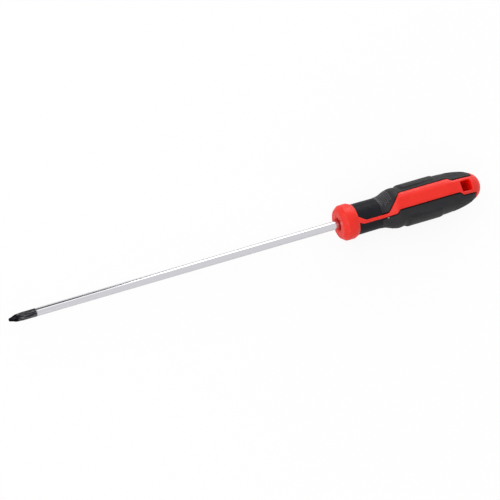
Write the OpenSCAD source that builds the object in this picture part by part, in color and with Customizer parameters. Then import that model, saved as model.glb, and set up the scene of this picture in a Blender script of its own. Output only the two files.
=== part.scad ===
// Long cross-point screwdriver: a round steel blade in a three-material moulded handle.
// Millimetres. +X runs along the tool towards the butt and -X towards the point.
// The origin is on the tool's axis, in the front face of the bolster.
// +Z is the normal of one red panel. The handle repeats after half a turn about X.

/* [Blade] */
// Length of blade that stands out of the handle
blade_len = 254; // [75:1:300]
// Diameter of the round bar
shank_d = 6; // [5.9:0.1:7]
// Length of the dark finish, from the end of the point
finish_len = 20.5; // [14:0.5:60]
// Length of tang inside the handle, from the front face
tang_len = 75; // [60:1:80]
// Diameter of the turned-down tang, from the floor of the dish
tang_d = 5.6; // [5:0.1:5.7]
// Width over the forged wings that stop the blade turning
wing_w = 9.6; // [7.5:0.1:11]
// Thickness of the wings
wing_t = 2.4; // [1.5:0.1:3.2]
// Length of one wing along the tang
wing_len = 10; // [6:0.5:12]
// Distance between the two pairs of wings
wing_gap = 5; // [2:0.5:10]
// Length of round tang behind the last wings
tang_end = 2; // [1:0.5:5]
// Depth to which the wings' sloping ends run into the tang
wing_root = 1; // [0.5:0.1:1.5]

/* [Point] */
// Diameter of the flat on the very end
tip_d = 0.6; // [0.4:0.1:1.2]
// Diameter of the blunt end, behind its flat cone
nose_d = 2.3; // [2.1:0.05:2.6]
// Length of the flat cone
nose_len = 0.4; // [0.3:0.05:0.6]
// Included angle of the four ribs
rib_angle = 26.5; // [24:0.5:29]
// Length of the ribs that enter a screw
rib_len = 2.6; // [2.2:0.1:3]
// Diameter of the shoulder behind the ribs
shoulder_d = 5.2; // [5:0.1:5.5]
// Distance of the shoulder from the end
shoulder_at = 5; // [4.6:0.1:6]
// Distance of the full bar diameter from the end
point_len = 10.4; // [8:0.2:12]
// Included angle of each flute
flute_angle = 92; // [88:1:94]
// Rise of the flute's root along the point
flute_rise = 5.75; // [4:0.25:8]
// Distance of the flute's root from the axis, at the end
flute_root = 0.65; // [0.6:0.05:0.9]
// Straight length of a flute
flute_len = 5.5; // [4:0.25:7]
// Diameter of the cutter that leaves the flute's run-out
cutter_d = 18; // [12:1:30]

/* [Bolster] */
// Largest diameter of the bolster
bolster_d = 25.6; // [24:0.2:29]
// Diameter of its front face
face_d = 20.8; // [18:0.2:23]
// Length of the front cone
front_len = 3.2; // [2.5:0.1:5]
// Length of the straight land
bolster_land = 5.6; // [4:0.1:8]
// Length of the rear cone
back_len = 3.2; // [3:0.1:5]
// Height of the bolster's rear rim over the neck
rim_h = 0.2; // [0.1:0.05:0.4]
// Mouth diameter of the dish round the blade
dish_d = 10; // [9:0.1:12]
// Floor diameter of the dish
dish_floor_d = 8.4; // [8:0.1:8.8]
// Depth of the dish
dish_depth = 2.2; // [1:0.1:3]
// Thickness of red plastic behind the dish
collar_t = 2.2; // [1.5:0.1:2.8]

/* [Neck] */
// Diameter of the neck at the bolster
neck_d = 22.3; // [21.6:0.1:23]
// Diameter of the neck at the grip
neck_end_d = 22; // [21.2:0.1:22.2]
// Length of bare neck
neck_len = 17.8; // [12:0.1:24]
// Diameter of the core's spigot inside the bolster
spigot_d = 17; // [14:0.5:18]
// Length of neck that the bolster covers
neck_cover = 2.4; // [1:0.1:3]

/* [Grip] */
// Diameter at the front lip of the soft pads
lip_d = 22.2; // [22.2:0.1:24]
// Diameter of the grip, without the raised lands
grip_d = 28.8; // [26:0.2:31]
// Length of the pads' level front, before the slope
lip_flat = 1.2; // [0.5:0.1:2]
// Length of the slope up to the full grip
slope_len = 12.6; // [8:0.2:14]
// Length from the lip to the end of the butt
grip_len = 80; // [72:0.5:95]
// Length of the butt's dome
dome_len = 44; // [34:0.5:46]
// Squareness of the dome, 2 for an ellipse
dome_power = 2.7; // [2.2:0.1:3]
// Thickness of the pads and of the red shell
skin_t = 2.6; // [2:0.1:3]
// Length of the red cap behind the pads
cap_len = 6; // [4:0.5:8]
// Length of solid red plastic at the butt, behind the core
block_len = 22.3; // [20:0.5:24]

/* [Raised lands] */
// Height of a land over the pad
land_h = 0.65; // [0.3:0.05:1]
// Distance from the lip to a land's front corner
land_start = 18.4; // [14:0.2:20]
// Length of a land at its middle
land_len = 29; // [20:0.5:36]
// Width of a land over its straight sides
land_w = 20; // [14:0.5:21]
// Slant of a land's front end
land_front_slant = 2; // [0:0.1:4]
// Slant of a land's rear end
land_rear_slant = 1.2; // [0:0.1:3]

/* [Rail and panel] */
// Height of the rail's upper edge over the axis
rail_top = -3.6; // [-4:0.05:-3.2]
// Height of the rail's lower edge
rail_bottom = -5.75; // [-6.2:0.05:-5.3]
// Height of the rail's upper edge at the bolster
root_top = 0; // [-1:0.1:1]
// Height of its lower edge at the bolster
root_bottom = -4.4; // [-4.9:0.1:-4]
// Length over which the upper edge comes down from the bolster
root_top_len = 5.2; // [3:0.1:8]
// Length over which the lower edge comes down from the bolster
root_bottom_len = 3.1; // [2:0.1:6]
// Height of the panel's upper edge
panel_top = 8.2; // [7.5:0.05:9]
// Height of the panel's lower edge
panel_bottom = -3.5; // [-4.5:0.05:-2.5]
// Half width of the red strip beside the hanging hole
strip_half = 5.9; // [5.5:0.1:6.5]
// Distance from the lip to where the upper edge starts to climb
climb_start = 5; // [4:0.1:7]
// Length of that climb
climb_len = 11.1; // [9:0.1:13]
// Distance from the lip to the step in the lower edge
step_start = 10.8; // [9:0.1:12]
// Length of that step
step_len = 2; // [1.5:0.1:4]
// Distance of the upper edge's last corner from the butt's end
top_corner = 23.2; // [20:0.1:25]
// Distance of the lower edge's last corner from the butt's end
bottom_corner = 17; // [15:0.1:19]
// Length of the bends down to the strip
bend_len = 2.8; // [2:0.1:4]
// Height of the rail over the neck
rail_proud = 0.35; // [0.1:0.05:0.6]
// Height of the panel over the pads
panel_proud = 0.65; // [0.3:0.05:0.9]
// Depth of the groove that holds the rail in the neck
groove_depth = 1.6; // [1:0.1:2]
// Height of the panel's flat face over the pads, straight above the axis
face_lift = 0.1; // [0:0.05:0.4]

/* [Hanging hole] */
// Length of the hole along the handle
hole_len = 8.4; // [6:0.1:9]
// Width of the hole
hole_w = 7.8; // [6:0.1:9]
// Radius of the hole's corners
hole_corner = 1.2; // [0.8:0.1:2]
// Distance from the hole to the end of the butt
hole_from_end = 9.3; // [8.5:0.1:10]

/* [Hidden] */
$fn = 96;
// Gap that the moulded pieces leave when they shrink
shrink = 0.03;
// Points along the grip's slope and along its dome
slope_steps = 8;
dome_steps = 16;
// Room that cutting shapes take past a surface, and their size across the handle
past = 1;
reach = bolster_d + grip_d;

// Places along X
core_x = dish_depth + collar_t;
rail_x = front_len + bolster_land;
bolster_len = rail_x + back_len;
neck_x = bolster_len - neck_cover;
lip_x = bolster_len + neck_len;
slope_x = lip_x + lip_flat;
slope_end = slope_x + slope_len;
butt_x = lip_x + grip_len;
dome_x = butt_x - dome_len;
cap_x = butt_x - cap_len;
block_x = butt_x - block_len;
hole_x = butt_x - hole_from_end - hole_len;
land_x = lip_x + land_start;

groove_r = neck_end_d / 2 - groove_depth;

// Radius of the neck
function neck_r(x) =
    neck_d / 2 + (neck_end_d - neck_d) / 2 * (x - bolster_len) / neck_len;

// Radius of the pads: a level front, a slope, a straight stretch and a squarish dome
function grip_r(x) =
    x < slope_end
        ? lip_d / 2 + (grip_d - lip_d) / 2 * (1 - cos(180 * max(0, x - slope_x) / slope_len)) / 2
    : x < dome_x ? grip_d / 2
    : grip_d / 2 * pow(max(0, 1 - pow((x - dome_x) / dome_len, dome_power)), 1 / dome_power);

// Radius under the pads and under the red shell
function seat_r(x) = grip_r(x) - skin_t;

// Height of the red shell over the pads, which fades out towards the cap
function proud(x) =
    x < slope_end ? rail_proud + (panel_proud - rail_proud) * (x - lip_x) / (slope_end - lip_x)
    : x < hole_x ? panel_proud
    : x < cap_x ? panel_proud * (1 + cos(180 * (x - hole_x) / (cap_x - hole_x))) / 2
    : 0;

// Places of the grip's profile points, closer together near the butt's end
grip_places = concat(
    [lip_x],
    [for (i = [0 : slope_steps]) slope_x + slope_len * i / slope_steps],
    [for (i = [0 : dome_steps]) dome_x + dome_len * sin(90 * i / dome_steps)]
);

// The places that lie between two ends, without points close to either end
function places(from, to) = [for (x = grip_places) if (x > from + 0.2 && x < to - 0.2) x];

// Outline of the near red panel, seen along -Z: its upper and its lower edge
top_edge = [
    [rail_x, root_top],
    [bolster_len, root_top],
    [bolster_len + root_top_len, rail_top],
    [lip_x + climb_start, rail_top],
    [lip_x + climb_start + climb_len, panel_top],
    [butt_x - top_corner - bend_len, panel_top],
    [butt_x - top_corner, strip_half],
    [butt_x + past, strip_half]
];
bottom_edge = [
    [rail_x, root_bottom],
    [bolster_len, root_bottom],
    [bolster_len + root_bottom_len, rail_bottom],
    [lip_x + step_start, rail_bottom],
    [lip_x + step_start + step_len, panel_bottom],
    [butt_x - bottom_corner - bend_len, panel_bottom],
    [butt_x - bottom_corner, -strip_half],
    [butt_x + past, -strip_half]
];

function reversed(p) = [for (i = [len(p) - 1 : -1 : 0]) p[i]];

// A closed anticlockwise outline with every side moved outwards
function grown(p, by) = [
    for (i = [0 : len(p) - 1])
        let (
            a = p[(i + len(p) - 1) % len(p)],
            b = p[i],
            c = p[(i + 1) % len(p)],
            u = (b - a) / norm(b - a),
            v = (c - b) / norm(c - b),
            m = [u[1], -u[0]],
            n = [v[1], -v[0]]
        )
        b + by * (m + n) / (1 + m * n)
];

module along_x() rotate([0, 90, 0]) children();

module half_turn() rotate([180, 0, 0]) children();

// A solid of revolution about X, from points that hold a place and a radius
module turned(points) {
    along_x()
        rotate_extrude()
            polygon([for (p = points) [p[1], p[0]]]);
}

// The near and the far red outlines, each raised through half of the handle
module panel_prisms(by = 0) {
    outline = grown(concat(bottom_edge, reversed(top_edge)), by);
    linear_extrude(reach) polygon(outline);
    half_turn() linear_extrude(reach) polygon(outline);
}

// The solid that the pads and the red shell are moulded round
module seat(from, to, by = 0) {
    turned(concat(
        [[from, 0], [from, seat_r(from) + by]],
        [for (x = places(from, to)) [x, seat_r(x) + by]],
        [[to, seat_r(to) + by], [to, 0]]
    ));
}

// ---- blade: a bar with a four-ribbed point and a winged tang

module point_blank() {
    rib_d = nose_d + 2 * rib_len * tan(rib_angle / 2);
    rotate_extrude()
        polygon([
            [0, 0],
            [tip_d / 2, 0],
            [nose_d / 2, nose_len],
            [rib_d / 2, nose_len + rib_len],
            [shoulder_d / 2, shoulder_at],
            [shank_d / 2, point_len],
            [shank_d / 2, finish_len],
            [0, finish_len]
        ]);
}

// A ground flute: a straight vee and the run-out of the vee-edged cutter
module flute() {
    depth = shank_d;
    half = depth * tan(flute_angle / 2);
    translate([flute_root, 0, 0])
        rotate([0, flute_rise, 0]) {
            translate([0, 0, -past])
                linear_extrude(flute_len + past)
                    polygon([[0, 0], [depth, -half], [depth, half]]);
            translate([cutter_d / 2, 0, flute_len])
                rotate([90, 0, 0])
                    rotate_extrude()
                        polygon([
                            [cutter_d / 2, 0],
                            [cutter_d / 2 - depth, half],
                            [cutter_d / 2 - depth, -half]
                        ]);
        }
}

// The tang with its two pairs of forged wings, made larger where it is a hole
module tang(by = 0) {
    wing_x = tang_len - tang_end - wing_len;
    wing = [
        [0, wing_root - tang_d / 2],
        [wing_len / 4, -wing_w / 2],
        [wing_len * 3 / 4, -wing_w / 2],
        [wing_len, wing_root - tang_d / 2],
        [wing_len, tang_d / 2 - wing_root],
        [wing_len * 3 / 4, wing_w / 2],
        [wing_len / 4, wing_w / 2],
        [0, tang_d / 2 - wing_root]
    ];
    along_x()
        translate([0, 0, dish_depth - past])
            cylinder(d = tang_d + 2 * by, h = tang_len + by - dish_depth + past);
    for (x = [wing_x, wing_x - wing_gap - wing_len])
        translate([x, 0, -wing_t / 2 - by])
            linear_extrude(wing_t + 2 * by)
                polygon(grown(wing, by));
}

module blade() {
    color("silver") {
        along_x()
            translate([0, 0, finish_len - past - blade_len])
                cylinder(d = shank_d, h = blade_len - finish_len + past + dish_depth);
        tang();
    }
    color("black")
        translate([-blade_len, 0, 0])
            along_x()
                difference() {
                    point_blank();
                    for (i = [0 : 3])
                        rotate([0, 0, 45 + 90 * i])
                            flute();
                }
}

// ---- core: black plastic moulded on the tang, bare at the neck

module core_blank(by = 0) {
    turned([
        [core_x - by, 0],
        [core_x - by, spigot_d / 2 + by],
        [neck_x - by, spigot_d / 2 + by],
        [neck_x - by, neck_r(neck_x) + by],
        [lip_x, neck_r(lip_x) + by],
        [lip_x, 0]
    ]);
    seat(lip_x, block_x);
}

module core() {
    color("#202124")
        difference() {
            core_blank();
            tang(shrink);
            // grooves for the two rails
            intersection() {
                panel_prisms(shrink);
                turned([
                    [rail_x, groove_r - shrink],
                    [lip_x, groove_r - shrink],
                    [lip_x, reach],
                    [rail_x, reach]
                ]);
            }
        }
}

// ---- red shell: bolster, rails, panels and butt, one moulding round the core

module bolster() {
    difference() {
        turned([
            [0, 0],
            [0, face_d / 2],
            [front_len, bolster_d / 2],
            [rail_x, bolster_d / 2],
            [bolster_len, neck_d / 2 + rim_h],
            [bolster_len, 0]
        ]);
        // dish round the blade
        turned([
            [-past, 0],
            [-past, dish_d / 2],
            [0, dish_d / 2],
            [dish_depth, dish_floor_d / 2],
            [dish_depth, 0]
        ]);
        tang(shrink);
        core_blank(shrink);
    }
}

// Outer surface of the rails, the panels and the cap
module shell_blank() {
    turned(concat(
        [
            [rail_x, 0],
            [rail_x, neck_r(rail_x) + rail_proud],
            [lip_x - past, neck_r(lip_x) + rail_proud]
        ],
        [for (x = concat([lip_x], places(lip_x, butt_x))) [x, grip_r(x) + proud(x)]],
        [[butt_x, 0]]
    ));
}

// All that lies under the near panel's face, which is flat from side to side
module under_face() {
    front_z = lip_d / 2 + panel_proud;
    rotate([90, 0, 0])
        linear_extrude(2 * reach, center = true)
            polygon(concat(
                [[0, -reach], [0, front_z], [lip_x, front_z]],
                [for (x = places(lip_x, butt_x)) [x, grip_r(x) + face_lift]],
                [[butt_x, face_lift], [butt_x, -reach]]
            ));
}

module hanging_hole() {
    translate([hole_x + hole_len / 2, 0, -reach])
        linear_extrude(2 * reach) {
            square([hole_len - 2 * hole_corner, hole_w], center = true);
            square([hole_len, hole_w - 2 * hole_corner], center = true);
            for (i = [-1, 1], j = [-1, 1])
                translate([i * (hole_len / 2 - hole_corner), j * (hole_w / 2 - hole_corner)])
                    circle(r = hole_corner);
        }
}

module red_shell() {
    color("#e8372f")
        difference() {
            union() {
                bolster();
                difference() {
                    intersection() {
                        shell_blank();
                        union() {
                            intersection() {
                                panel_prisms();
                                under_face();
                                half_turn() under_face();
                            }
                            translate([cap_x, 0, 0]) along_x() cylinder(r = reach, h = cap_len);
                        }
                    }
                    along_x() cylinder(r = groove_r, h = lip_x);
                    seat(lip_x, block_x + shrink, shrink);
                }
                // solid block under the tails of the pads
                seat(block_x + shrink, cap_x + past);
            }
            hanging_hole();
        }
}

// ---- grips: two soft pads moulded into the windows of the shell

module pad_land() {
    end_x = land_x + land_len;
    half = land_w / 2;
    intersection() {
        turned(concat(
            [[land_x, 0], [land_x, grip_r(land_x) + land_h]],
            [for (x = places(land_x, end_x)) [x, grip_r(x) + land_h]],
            [[end_x, grip_r(end_x) + land_h], [end_x, 0]]
        ));
        rotate([-90, 0, 0])
            linear_extrude(reach)
                polygon([
                    [land_x, 0],
                    [land_x + land_front_slant, -half],
                    [end_x - land_rear_slant, -half],
                    [end_x, 0],
                    [end_x - land_rear_slant, half],
                    [land_x + land_front_slant, half]
                ]);
    }
}

module grip_pad() {
    front = lip_x + shrink;
    back = cap_x - shrink;
    below_near = concat([[butt_x + past, -reach]], reversed(top_edge), [[rail_x, -reach]]);
    below_far = concat(bottom_edge, [[butt_x + past, reach], [rail_x, reach]]);
    color("#3a3b3e")
        difference() {
            union() {
                turned(concat(
                    [[front, 0], [front, grip_r(front)]],
                    [for (x = places(front, back)) [x, grip_r(x)]],
                    [[back, grip_r(back)], [back, 0]]
                ));
                pad_land();
            }
            seat(lip_x, cap_x, shrink);
            linear_extrude(reach) polygon(grown(below_near, shrink));
            half_turn() linear_extrude(reach) polygon(grown(below_far, shrink));
        }
}

blade();
core();
red_shell();
grip_pad();  // right_grip
half_turn() grip_pad();  // left_grip
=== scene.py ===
"""A long cross-point screwdriver, dressed for its photograph.

A chromed round blade with a dark point stands in a handle of three plastics: a hard black
core, a hard red shell and two soft dark pads. Lengths are millimetres until mm turns them
into metres. An angle round the handle is counted from +Z towards +Y.
"""
from math import asin, atan2, cos, hypot, pi, radians, sin, tan

import bmesh
import bpy
import numpy as np
from mathutils import Matrix, Vector


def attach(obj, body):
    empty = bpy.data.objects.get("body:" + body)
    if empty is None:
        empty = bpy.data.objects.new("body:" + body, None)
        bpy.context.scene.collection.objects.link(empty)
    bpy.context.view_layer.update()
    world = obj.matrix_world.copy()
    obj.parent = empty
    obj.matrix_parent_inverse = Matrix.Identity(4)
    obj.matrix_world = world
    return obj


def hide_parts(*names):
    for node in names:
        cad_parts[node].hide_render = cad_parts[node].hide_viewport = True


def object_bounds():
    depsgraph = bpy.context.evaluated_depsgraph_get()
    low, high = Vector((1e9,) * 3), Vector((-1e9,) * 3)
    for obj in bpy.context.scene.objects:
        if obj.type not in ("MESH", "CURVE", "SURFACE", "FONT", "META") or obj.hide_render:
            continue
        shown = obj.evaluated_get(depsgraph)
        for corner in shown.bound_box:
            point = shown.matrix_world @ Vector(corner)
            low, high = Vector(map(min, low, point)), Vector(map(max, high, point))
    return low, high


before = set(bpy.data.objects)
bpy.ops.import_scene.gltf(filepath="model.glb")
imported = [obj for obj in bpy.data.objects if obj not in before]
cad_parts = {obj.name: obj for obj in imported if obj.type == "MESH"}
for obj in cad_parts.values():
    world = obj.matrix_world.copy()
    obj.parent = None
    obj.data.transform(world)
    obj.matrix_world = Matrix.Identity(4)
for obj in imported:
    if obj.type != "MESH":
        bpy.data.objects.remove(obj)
cad_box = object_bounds()
mm = 0.001
weld = 1e-7  # metres, under which two points are one


# ---- Blade -----------------------------------------------------------------------------
# A round steel bar, turned and ground to a four-ribbed point and chromed. The last stretch
# has a dark oxide finish instead. Its tang, with two pairs of forged wings that stop it
# turning, is moulded into the black core.

blade_len = 254.0
shank_r = 3.0
finish_len = 20.5
dish_depth = 2.2
tang_len = 75.0
tang_r = 2.8
tip_r, nose_r, nose_len = 0.3, 1.15, 0.4
rib_len, rib_r = 2.6, 1.762
shoulder_r, shoulder_at, point_len = 2.6, 5.0, 10.4
flute_half = radians(46)
flute_root, flute_rise, flute_len = 0.65, radians(5.75), 5.5
cutter_r = 9.0
rib_softness = 0.05
flute_search, search_steps = 12.0, 40
tang_chamfer, wing_root = 0.4, 1.8
wing_half, wing_t, wing_len, wing_gap, tang_end = 4.8, 2.4, 10.0, 5.0, 2.0
most_bend = 0.45  # of a side's length, the most that one rounded corner takes up


def rounded(points, radii, steps=6):
    """The open line through the points, with each inner corner turned into an arc."""
    line = [points[0]]
    for a, b, c, radius in zip(points, points[1:], points[2:], radii):
        before = Vector(a) - Vector(b)
        after = Vector(c) - Vector(b)
        half = before.angle(after) / 2
        cut = min(radius / tan(half), before.length * most_bend, after.length * most_bend)
        bend = cut * tan(half)
        start = Vector(b) + before.normalized() * cut
        end = Vector(b) + after.normalized() * cut
        halfway = (before.normalized() + after.normalized()).normalized()
        middle = Vector(b) + halfway * hypot(cut, bend)
        for i in range(steps + 1):
            spoke = (start - middle).lerp(end - middle, i / steps)
            line.append(tuple(middle + spoke.normalized() * bend))
    return line + [points[-1]]


def around(x, r, turns):
    """Points at one place along the tool, at one or many radii and angles."""
    return np.stack([np.full(len(turns), x), r * np.sin(turns), r * np.cos(turns)], axis=1)


def rings_mesh(name, rings, ends=(True, True), round_again=False):
    """A closed skin over rings of points, which are arrays of (x, y, z) in millimetres."""
    count = len(rings[0])
    points = np.concatenate(rings) * mm
    faces = []
    last = len(rings) if round_again else len(rings) - 1
    for i in range(last):
        a, b = i * count, (i + 1) % len(rings) * count
        for j in range(count):
            k = (j + 1) % count
            faces.append((a + j, b + j, b + k, a + k))
    if ends[0]:
        faces.append(tuple(range(count)))
    if ends[1]:
        faces.append(tuple((len(rings) - 1) * count + j for j in reversed(range(count))))
    mesh = bpy.data.meshes.new(name)
    mesh.from_pydata(points.tolist(), [], faces)
    return cleaned(mesh)


def cleaned(mesh):
    """The mesh with its doubles merged and every face turned outwards."""
    shape = bmesh.new()
    shape.from_mesh(mesh)
    bmesh.ops.remove_doubles(shape, verts=shape.verts, dist=weld)
    bmesh.ops.dissolve_degenerate(shape, edges=shape.edges, dist=weld)
    bmesh.ops.recalc_face_normals(shape, faces=shape.faces)
    shape.to_mesh(mesh)
    shape.free()
    return mesh


def turned(name, profile, sides, round_again=False):
    """A body of revolution about X, from points that hold a place and a radius."""
    turn = np.linspace(0, 2 * pi, sides, endpoint=False)
    rings = [around(x, r, turn) for x, r in profile]
    return rings_mesh(name, rings, (not round_again, not round_again), round_again)


def prisms(name, outlines, half):
    """Upright prisms over outlines of (x, y), from half below the axis to half above it."""
    shape = bmesh.new()
    for outline in outlines:
        low = [shape.verts.new((x * mm, y * mm, -half * mm)) for x, y in outline]
        up = bmesh.ops.extrude_face_region(shape, geom=[shape.faces.new(low)])["geom"]
        raised = [v for v in up if isinstance(v, bmesh.types.BMVert)]
        bmesh.ops.translate(shape, verts=raised, vec=(0, 0, 2 * half * mm))
    bmesh.ops.recalc_face_normals(shape, faces=shape.faces)
    mesh = bpy.data.meshes.new(name)
    shape.to_mesh(mesh)
    shape.free()
    return mesh


def linked(name, data):
    """A new object in the scene that holds the data."""
    made = bpy.data.objects.new(name, data)
    bpy.context.scene.collection.objects.link(made)
    return made


def evaluated(o):
    """The mesh that an object's modifiers make."""
    bpy.context.view_layer.update()
    graph = bpy.context.evaluated_depsgraph_get()
    return bpy.data.meshes.new_from_object(o.evaluated_get(graph))


def carved(mesh, tool, operation):
    """The mesh after a boolean with the tool's mesh."""
    body, cutter = linked(mesh.name, mesh), linked("cutter", tool)
    step = body.modifiers.new("step", "BOOLEAN")
    step.operation = operation
    step.solver = "MANIFOLD"
    step.object = cutter
    result = evaluated(body)
    for o in (body, cutter):
        bpy.data.objects.remove(o)
    return cleaned(result)


def finished(name, mesh, material, node, sharp=32):
    """The piece as an object at the origin, smooth but for its real edges, riding on the tool."""
    mesh.name = name
    mesh.shade_smooth()
    mesh.set_sharp_from_angle(angle=radians(sharp))
    mesh.materials.clear()
    mesh.materials.append(material)
    piece = linked(name, mesh)
    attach(piece, "root")
    if node:
        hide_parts(node)
    return piece


def flute_surface(at, turn):
    """Distance of a flute's ground face from the axis, by place behind the end and by angle."""
    low = np.zeros(np.broadcast(at, turn).shape)
    high = low + flute_search
    for _ in range(search_steps):
        r = (low + high) / 2
        out, side = r * np.cos(turn), np.abs(r * np.sin(turn))
        # the same place in the frame of the flute, which climbs along the point
        along = at * np.cos(flute_rise) + (out - flute_root) * np.sin(flute_rise)
        above = (out - flute_root) * np.cos(flute_rise) - at * np.sin(flute_rise)
        wheel = cutter_r - side / np.tan(flute_half)
        past = np.clip(along - flute_len, 0, None)
        floor = cutter_r - np.sqrt(np.clip(wheel**2 - past**2, 0, None))
        inside = above < floor
        low = np.where(inside, r, low)
        high = np.where(inside, high, r)
    return low


def softer_min(a, b, softness):
    """The smaller of two surfaces, with their meeting edge rounded a little."""
    gap = np.clip(1 - np.abs(a - b) / (2 * softness), 0, None)
    return np.minimum(a, b) - softness * gap**2 / 2


blade_sides = 192
point_places = np.concatenate([
    np.linspace(0.0, nose_len, 9)[:-1],
    np.linspace(nose_len, nose_len + rib_len, 30),
    np.linspace(nose_len + rib_len + 0.05, point_len + 6.0, 110),
])
blank = rounded(
    [
        (0, tip_r), (nose_len, nose_r), (nose_len + rib_len, rib_r),
        (shoulder_at, shoulder_r), (point_len, shank_r), (finish_len, shank_r),
    ],
    [0.6, 3.0, 3.0, 6.0],
)
blank_r = np.interp(point_places, [p[0] for p in blank], [p[1] for p in blank])
turn = np.linspace(0, 2 * pi, blade_sides, endpoint=False)
off_flute = (turn % (pi / 2)) - pi / 4
flutes = flute_surface(point_places[:, None], off_flute[None, :])
point_r = softer_min(blank_r[:, None], flutes, rib_softness)
bar_places = np.concatenate([
    np.linspace(point_len + 8.0, finish_len, 6) - blade_len,
    np.linspace(finish_len - blade_len + 2.0, dish_depth, 40),
])
blade_rings = [around(at - blade_len, r, turn) for at, r in zip(point_places, point_r)]
blade_rings += [around(x, shank_r, turn) for x in bar_places]
blade_rings += [around(x, tang_r, turn) for x in (dish_depth, tang_len - tang_chamfer)]
blade_rings.append(around(tang_len, tang_r - tang_chamfer, turn))
blade_mesh = rings_mesh("blade_steel", blade_rings)


def wings(by=0.0):
    """The two pairs of wings as one mesh, made larger where they are a hole."""
    wing_x = tang_len - tang_end - wing_len
    return prisms("wings", [
        [
            (x - by, -wing_root), (x + wing_len / 4, -wing_half - by),
            (x + wing_len * 3 / 4, -wing_half - by), (x + wing_len + by, -wing_root),
            (x + wing_len + by, wing_root), (x + wing_len * 3 / 4, wing_half + by),
            (x + wing_len / 4, wing_half + by), (x - by, wing_root),
        ]
        for x in (wing_x, wing_x - wing_gap - wing_len)
    ], wing_t / 2 + by)


blade_mesh = carved(blade_mesh, wings(), "UNION")


class Wiring:
    """A short way to place and join the nodes of one tree."""

    def __init__(self, tree):
        self.tree = tree

    def node(self, kind, settings=None, **inputs):
        made = self.tree.nodes.new(kind)
        for key, value in (settings or {}).items():
            setattr(made, key, value)
        for key, value in inputs.items():
            self.feed(made, key.replace("_", " "), value)
        return made

    def feed(self, made, key, value):
        socket = made.inputs[int(key[5:])] if key.startswith("input") else made.inputs[key]
        if isinstance(value, bpy.types.NodeSocket):
            self.tree.links.new(value, socket)
        else:
            socket.default_value = value

    def math(self, operation, a, b=0.0):
        return self.node("ShaderNodeMath", {"operation": operation}, input0=a, input1=b).outputs[0]

    def between(self, value, low, high, to_low=0.0, to_high=1.0):
        return self.node(
            "ShaderNodeMapRange", {"clamp": True},
            Value=value, From_Min=low, From_Max=high, To_Min=to_low, To_Max=to_high,
        ).outputs["Result"]

    def blend(self, share, a, b):
        made = self.node("ShaderNodeMix", {"data_type": "RGBA"}, input0=share, input6=a, input7=b)
        return made.outputs[2]


def new_material(name):
    """A new node material, its wiring and its Principled shader, joined to the output."""
    material = bpy.data.materials.new(name)
    material.use_nodes = True
    material.node_tree.nodes.clear()
    wiring = Wiring(material.node_tree)
    shader = wiring.node("ShaderNodeBsdfPrincipled")
    wiring.node("ShaderNodeOutputMaterial", Surface=shader.outputs[0])
    return material, wiring, shader


def new_group(name, inputs, outputs):
    """A shader group with named inputs and outputs, and its wiring."""
    group = bpy.data.node_groups.new(name, "ShaderNodeTree")
    for key, value in inputs.items():
        socket = group.interface.new_socket(key, in_out="INPUT", socket_type="NodeSocketFloat")
        socket.default_value = value
    for key, kind in outputs.items():
        group.interface.new_socket(key, in_out="OUTPUT", socket_type=kind)
    wiring = Wiring(group)
    start = wiring.node("NodeGroupInput")
    end = wiring.node("NodeGroupOutput")
    return group, wiring, start, end


# Fine unevenness of a made surface: a grain, soft patches and drawn-out marks. Each range is
# the stretch of the noise that a mask uses.
patch_range, mark_range, grain_range = (0.35, 0.65), (0.58, 0.68), (0.3, 0.7)
surface_group, w, start, end = new_group(
    "surface_unevenness",
    {"Grain Size": 0.3, "Patch Size": 9.0, "Stretch": 1.0},
    {"Grain": "NodeSocketFloat", "Patches": "NodeSocketFloat", "Marks": "NodeSocketFloat"},
)
place = w.node("ShaderNodeTexCoord").outputs["Object"]
parts = w.node("ShaderNodeSeparateXYZ", Vector=place)
along = w.math("MULTIPLY", parts.outputs["X"], start.outputs["Stretch"])
squeezed = w.node(
    "ShaderNodeCombineXYZ", X=along, Y=parts.outputs["Y"], Z=parts.outputs["Z"]
).outputs["Vector"]
grain_scale = w.math("DIVIDE", 1 / mm, start.outputs["Grain Size"])
patch_scale = w.math("DIVIDE", 1 / mm, start.outputs["Patch Size"])
grain = w.node("ShaderNodeTexNoise", Vector=squeezed, Scale=grain_scale, Detail=3.0, Roughness=0.6)
patches = w.node("ShaderNodeTexNoise", Vector=place, Scale=patch_scale, Detail=4.0, Roughness=0.55)
mark_scale = w.math("MULTIPLY", patch_scale, 3.0)
marks = w.node(
    "ShaderNodeTexNoise", Vector=squeezed, Scale=mark_scale, Detail=8.0, Roughness=0.7,
    Distortion=1.5,
)
w.feed(end, "Grain", grain.outputs["Fac"])
w.feed(end, "Patches", w.between(patches.outputs["Fac"], *patch_range))
w.feed(end, "Marks", w.between(marks.outputs["Fac"], *mark_range))


def unevenness(wiring, **values):
    """Places the shared group in a material with that material's own sizes."""
    made = wiring.node("ShaderNodeGroup")
    made.node_tree = surface_group
    for key, value in values.items():
        made.inputs[key.replace("_", " ")].default_value = value
    return made


def object_axes(wiring):
    """X, Y and Z of the shaded point in the tool's own frame."""
    place = wiring.node("ShaderNodeTexCoord").outputs["Object"]
    return wiring.node("ShaderNodeSeparateXYZ", Vector=place).outputs


def grained(wiring, shader, grain, depth):
    """Gives the shader the grain as a relief, with its depth in metres."""
    height = wiring.math("MULTIPLY", grain, depth)
    bump = wiring.node("ShaderNodeBump", Height=height, Distance=1.0, Strength=1.0)
    wiring.feed(shader, "Normal", bump.outputs["Normal"])


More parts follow.
